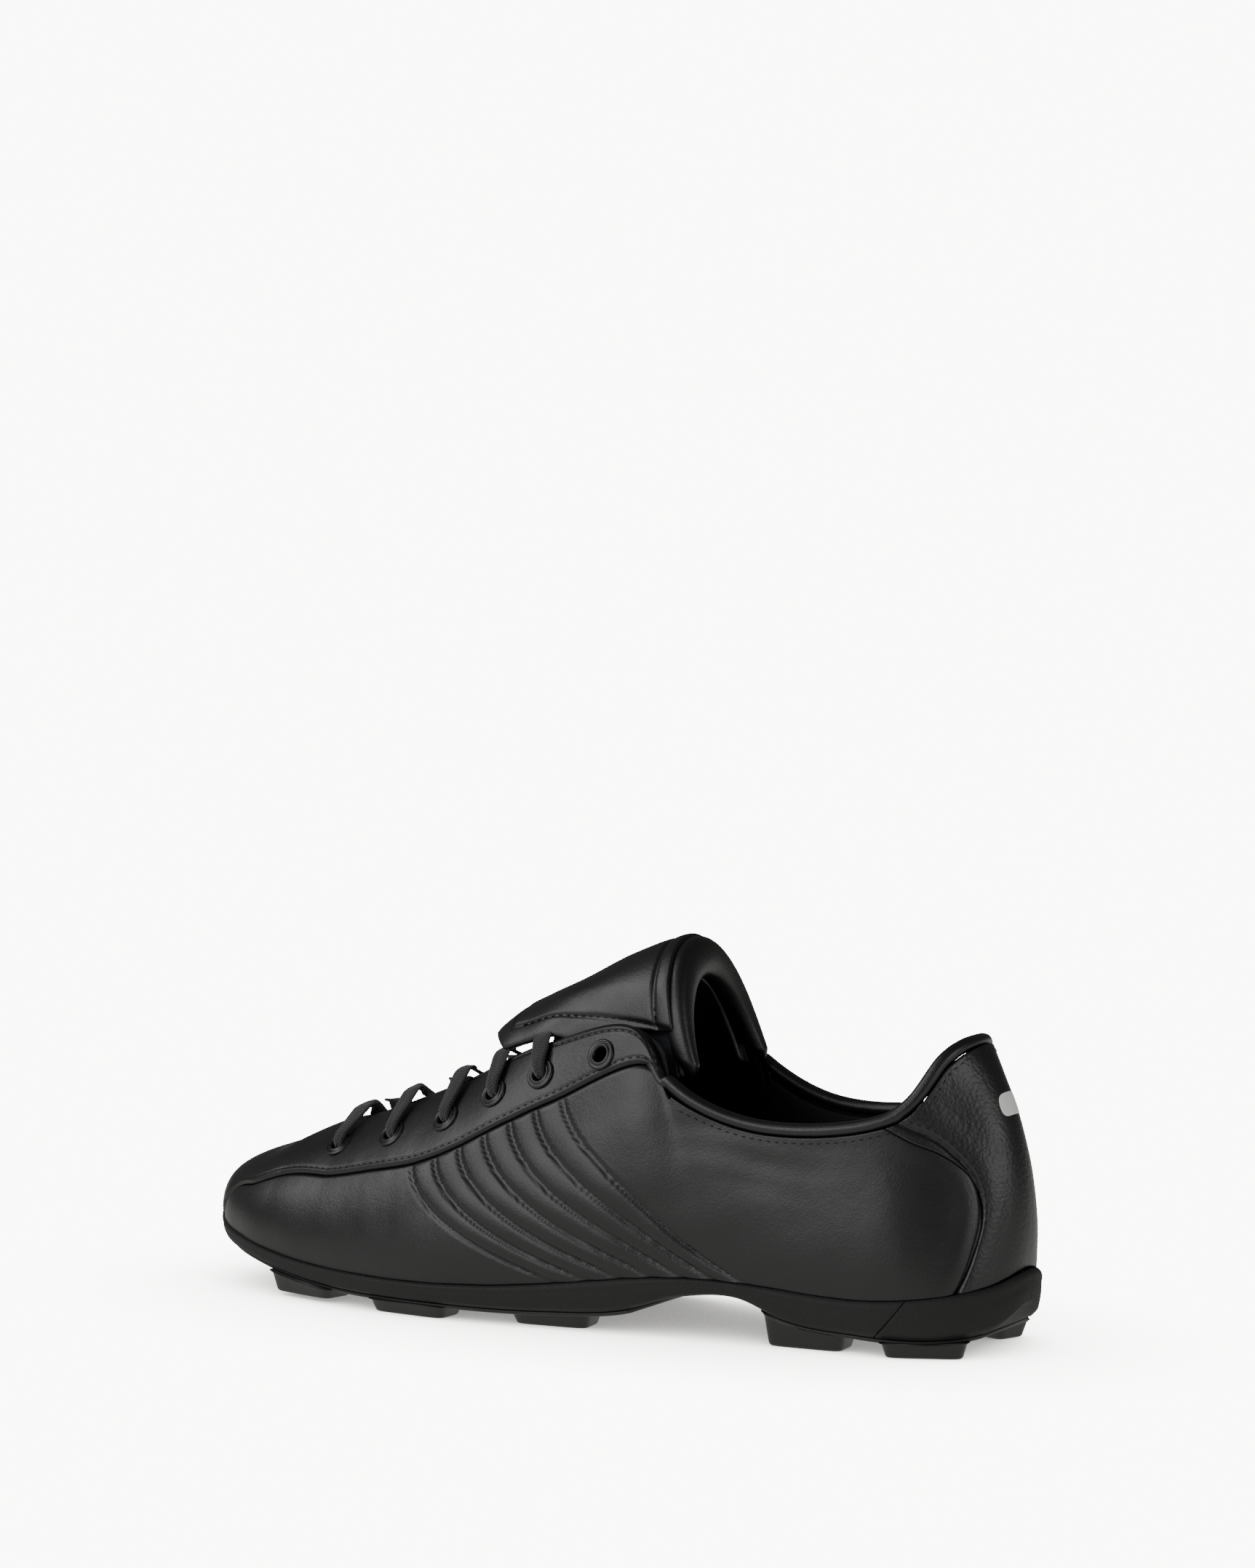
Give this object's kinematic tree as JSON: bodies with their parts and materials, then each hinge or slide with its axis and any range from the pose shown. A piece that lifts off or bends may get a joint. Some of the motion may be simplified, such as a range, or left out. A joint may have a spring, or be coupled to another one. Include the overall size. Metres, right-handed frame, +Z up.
{
  "type": "football boot",
  "caption": "Low-cut black leather football boot for the left foot, laced, with a fold-over tongue flap and moulded studs.",
  "frame": {"origin": "on the ground under the middle of the boot's length and width", "axes": "+X toe to heel, +Y lateral to medial side, +Z up from the ground the studs stand on"},
  "size_m": [0.289, 0.0957, 0.1202],
  "materials": {
    "calf_leather": "satin",
    "pebbled_leather": "satin",
    "lining_textile": "matte",
    "fibre_board": "matte",
    "foam": "matte",
    "shank_nylon": "matte",
    "grained_rubber": "matte",
    "stud_rubber": "satin",
    "eyelet_enamel": "satin",
    "nickel": "polished",
    "navy_textile": "matte",
    "lace_polyester": "matte",
    "aglet_plastic": "gloss"
  },
  "bodies": {
    "boot": {"vamp_and_eyestays": "calf_leather", "quarter_lateral": "calf_leather", "quarter_medial": "calf_leather", "collar_binding": "calf_leather", "tongue_leather": "calf_leather", "tongue_fold": "calf_leather", "heel_panel": "pebbled_leather", "vamp_lining": "lining_textile", "quarter_lining": "lining_textile", "toe_puff": "fibre_board", "heel_counter": "fibre_board", "eyestay_reinforcement_lateral": "fibre_board", "eyestay_reinforcement_medial": "fibre_board", "forefoot_filler": "fibre_board", "insole_board": "fibre_board", "side_interlining_lateral": "foam", "side_interlining_medial": "foam", "collar_padding": "foam", "tongue_padding": "foam", "sockliner": "foam", "shank": "shank_nylon", "sole_unit": "grained_rubber", "heel_cup": "grained_rubber", "forefoot_outsole": "stud_rubber", "heel_outsole": "stud_rubber", "eyelet_lateral_1": "eyelet_enamel", "eyelet_lateral_2": "eyelet_enamel", "eyelet_lateral_3": "eyelet_enamel", "eyelet_lateral_4": "eyelet_enamel", "eyelet_lateral_5": "eyelet_enamel", "eyelet_lateral_6": "eyelet_enamel", "eyelet_medial_1": "eyelet_enamel", "eyelet_medial_2": "eyelet_enamel", "eyelet_medial_3": "eyelet_enamel", "eyelet_medial_4": "eyelet_enamel", "eyelet_medial_5": "eyelet_enamel", "eyelet_medial_6": "eyelet_enamel", "washer_lateral_1": "nickel", "washer_lateral_2": "nickel", "washer_lateral_3": "nickel", "washer_lateral_4": "nickel", "washer_lateral_5": "nickel", "washer_lateral_6": "nickel", "washer_medial_1": "nickel", "washer_medial_2": "nickel", "washer_medial_3": "nickel", "washer_medial_4": "nickel", "washer_medial_5": "nickel", "washer_medial_6": "nickel", "tongue_textile_face": "navy_textile", "lace": "lace_polyester", "aglet_1": "aglet_plastic", "aglet_2": "aglet_plastic"},
    "tongue_flap": {"flap_leather": "calf_leather", "flap_textile": "navy_textile"}
  },
  "joints": [
    {"name": "tongue_flap_hinge", "type": "hinge", "parent": "boot", "child": "tongue_flap", "pos_m": [0.027, -0.00031, 0.118], "axis": [0, 1, 0], "range_deg": [0, 100]}
  ]
}
